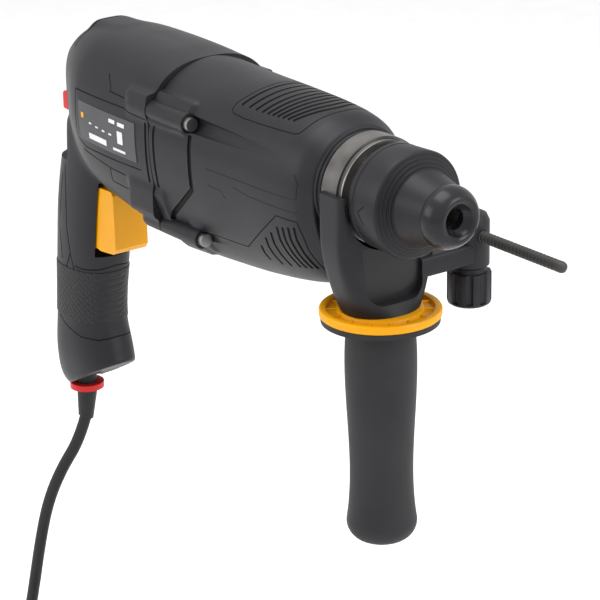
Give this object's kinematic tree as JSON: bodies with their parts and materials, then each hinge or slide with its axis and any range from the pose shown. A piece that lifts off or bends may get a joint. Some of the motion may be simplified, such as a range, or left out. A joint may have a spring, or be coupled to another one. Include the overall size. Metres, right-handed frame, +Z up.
{
  "type": "rotary hammer",
  "caption": "Corded rotary hammer with pistol grip, sliding chuck sleeve, swivelling side handle, depth stop, motor, gear train and hammer mechanism.",
  "frame": {"origin": "middle of the main grip, where the hand holds the tool", "axes": "+X forward along the tool axis toward the chuck's mouth, +Z up, +Y to the user's left"},
  "size_m": [0.3592, 0.2184, 0.4052],
  "materials": {
    "body_plastic": "fine-grained black moulded plastic",
    "soft_grip": "black overmoulded rubber",
    "yellow_plastic": "yellow moulded plastic",
    "red_plastic": "red moulded plastic",
    "cap_rubber": "glossy black rubber",
    "steel": "machined steel",
    "band_steel": "dark satin steel strap",
    "gear_steel": "oiled gear steel",
    "cast_alloy": "die-cast alloy",
    "lamination": "stacked laminations",
    "copper": "copper winding and bars",
    "carbon": "carbon",
    "insulator": "moulded insulator",
    "cord_rubber": "black cable rubber",
    "cover_seal": "brown seal rubber"
  },
  "bodies": {
    "housing": {"gearbox_cover": "body_plastic", "side_straps": "body_plastic", "damper_block": "red_plastic", "damper_bellows": "soft_grip", "gear_case": "cast_alloy", "bearing_plate": "cast_alloy", "front_seal": "cover_seal", "spindle_bearing": "steel", "layshaft_bearings": "steel", "motor_bearings": "steel", "stator": "lamination", "field_coils": "copper", "brushes": "carbon", "brush_holders": "insulator", "rear_housing_right": "body_plastic", "rear_housing_left": "body_plastic", "grip_pad": "soft_grip", "front_screws": "steel", "trigger_pin": "steel", "switch_module": "insulator", "cord_collar": "red_plastic", "strain_relief": "cord_rubber", "cord": "cord_rubber", "cord_coil": "cord_rubber", "cord_tail": "cord_rubber", "power_plug": "cord_rubber", "plug_pins": "steel"},
    "spindle": {"spindle": "steel", "locking_balls": "steel", "spindle_gear": "gear_steel", "stop_ring": "steel", "dust_cap": "cap_rubber", "sleeve_spring": "steel"},
    "lock_sleeve": {"lock_sleeve": "body_plastic", "lock_ring": "steel"},
    "beat_piece": {"beat_piece": "steel"},
    "ram": {"ram": "steel", "ram_seal": "cover_seal"},
    "piston": {"piston": "cast_alloy", "piston_pin": "steel"},
    "layshaft": {"layshaft": "steel", "lay_gear": "gear_steel", "spindle_pinion": "gear_steel", "wobble_hub": "steel"},
    "wobble_plate": {"wobble_plate": "steel"},
    "armature": {"motor_pinion": "gear_steel", "armature_shaft": "steel", "armature_core": "lamination", "armature_windings": "copper", "commutator": "copper", "fan": "insulator"},
    "trigger": {"trigger": "yellow_plastic"},
    "mode_knob": {"mode_knob": "yellow_plastic"},
    "side_handle": {"handle_bracket": "body_plastic", "clamp_band": "band_steel", "clamp_bolt": "steel"},
    "side_grip": {"side_grip": "soft_grip", "hand_guard": "yellow_plastic"},
    "depth_rod": {"depth_rod": "body_plastic"},
    "depth_knob": {"depth_knob": "body_plastic"}
  },
  "joints": [
    {"name": "armature_spin", "type": "hinge", "parent": "housing", "child": "armature", "pos_m": [0.252, 0, 0.1], "axis": [1, 0, 0], "continuous": true},
    {"name": "layshaft_spin", "type": "hinge", "parent": "housing", "child": "layshaft", "pos_m": [0.252, 0, 0.076], "axis": [1, 0, 0], "continuous": true},
    {"name": "spindle_spin", "type": "hinge", "parent": "housing", "child": "spindle", "pos_m": [0.252, 0, 0.112], "axis": [1, 0, 0], "continuous": true},
    {"name": "sleeve_slide", "type": "slide", "parent": "spindle", "child": "lock_sleeve", "axis": [-1, 0, 0], "range_m": [0, 0.005], "stiffness_N_per_m": 1500, "springref_m": -0.006, "deforming": ["sleeve_spring"]},
    {"name": "beat_slide", "type": "slide", "parent": "spindle", "child": "beat_piece", "axis": [1, 0, 0], "range_m": [0, 0.003]},
    {"name": "ram_slide", "type": "slide", "parent": "spindle", "child": "ram", "axis": [1, 0, 0], "range_m": [-0.0015, 0.006]},
    {"name": "wobble_swing", "type": "hinge", "parent": "housing", "child": "wobble_plate", "pos_m": [0.159, 0, 0.076], "axis": [0, 1, 0], "range_deg": [-11, 11]},
    {"name": "piston_slide", "type": "slide", "parent": "housing", "child": "piston", "axis": [1, 0, 0], "range_m": [-0.0072, 0.0072]},
    {"name": "trigger_pull", "type": "hinge", "parent": "housing", "child": "trigger", "pos_m": [0.021, 0, 0.055], "axis": [0, 1, 0], "range_deg": [0, 7], "stiffness_Nm_per_rad": 1.2, "springref_deg": -14.32},
    {"name": "mode_turn", "type": "hinge", "parent": "housing", "child": "mode_knob", "pos_m": [0.174, 0.038, 0.09], "axis": [0, 1, 0], "range_deg": [-90, 90]},
    {"name": "handle_swivel", "type": "hinge", "parent": "housing", "child": "side_handle", "pos_m": [0.252, 0, 0.112], "axis": [1, 0, 0], "range_deg": [-22, 180]},
    {"name": "grip_twist", "type": "hinge", "parent": "side_handle", "child": "side_grip", "pos_m": [0.252, 0, 0.012], "axis": [0, 0, -1], "range_deg": [0, 360]},
    {"name": "depth_slide", "type": "slide", "parent": "side_handle", "child": "depth_rod", "axis": [1, 0, 0], "range_m": [-0.045, 0.05]},
    {"name": "depth_clamp", "type": "hinge", "parent": "side_handle", "child": "depth_knob", "pos_m": [0.254, 0.052, 0.062], "axis": [0, 0, 1], "range_deg": [0, 90]}
  ],
  "couplings": [
    {"joint": "layshaft_spin", "follows": "armature_spin", "ratio": -0.2973},
    {"joint": "spindle_spin", "follows": "armature_spin", "ratio": 0.099099},
    {"joint": "piston_slide", "follows": "wobble_swing", "m_per_rad": 0.036}
  ]
}
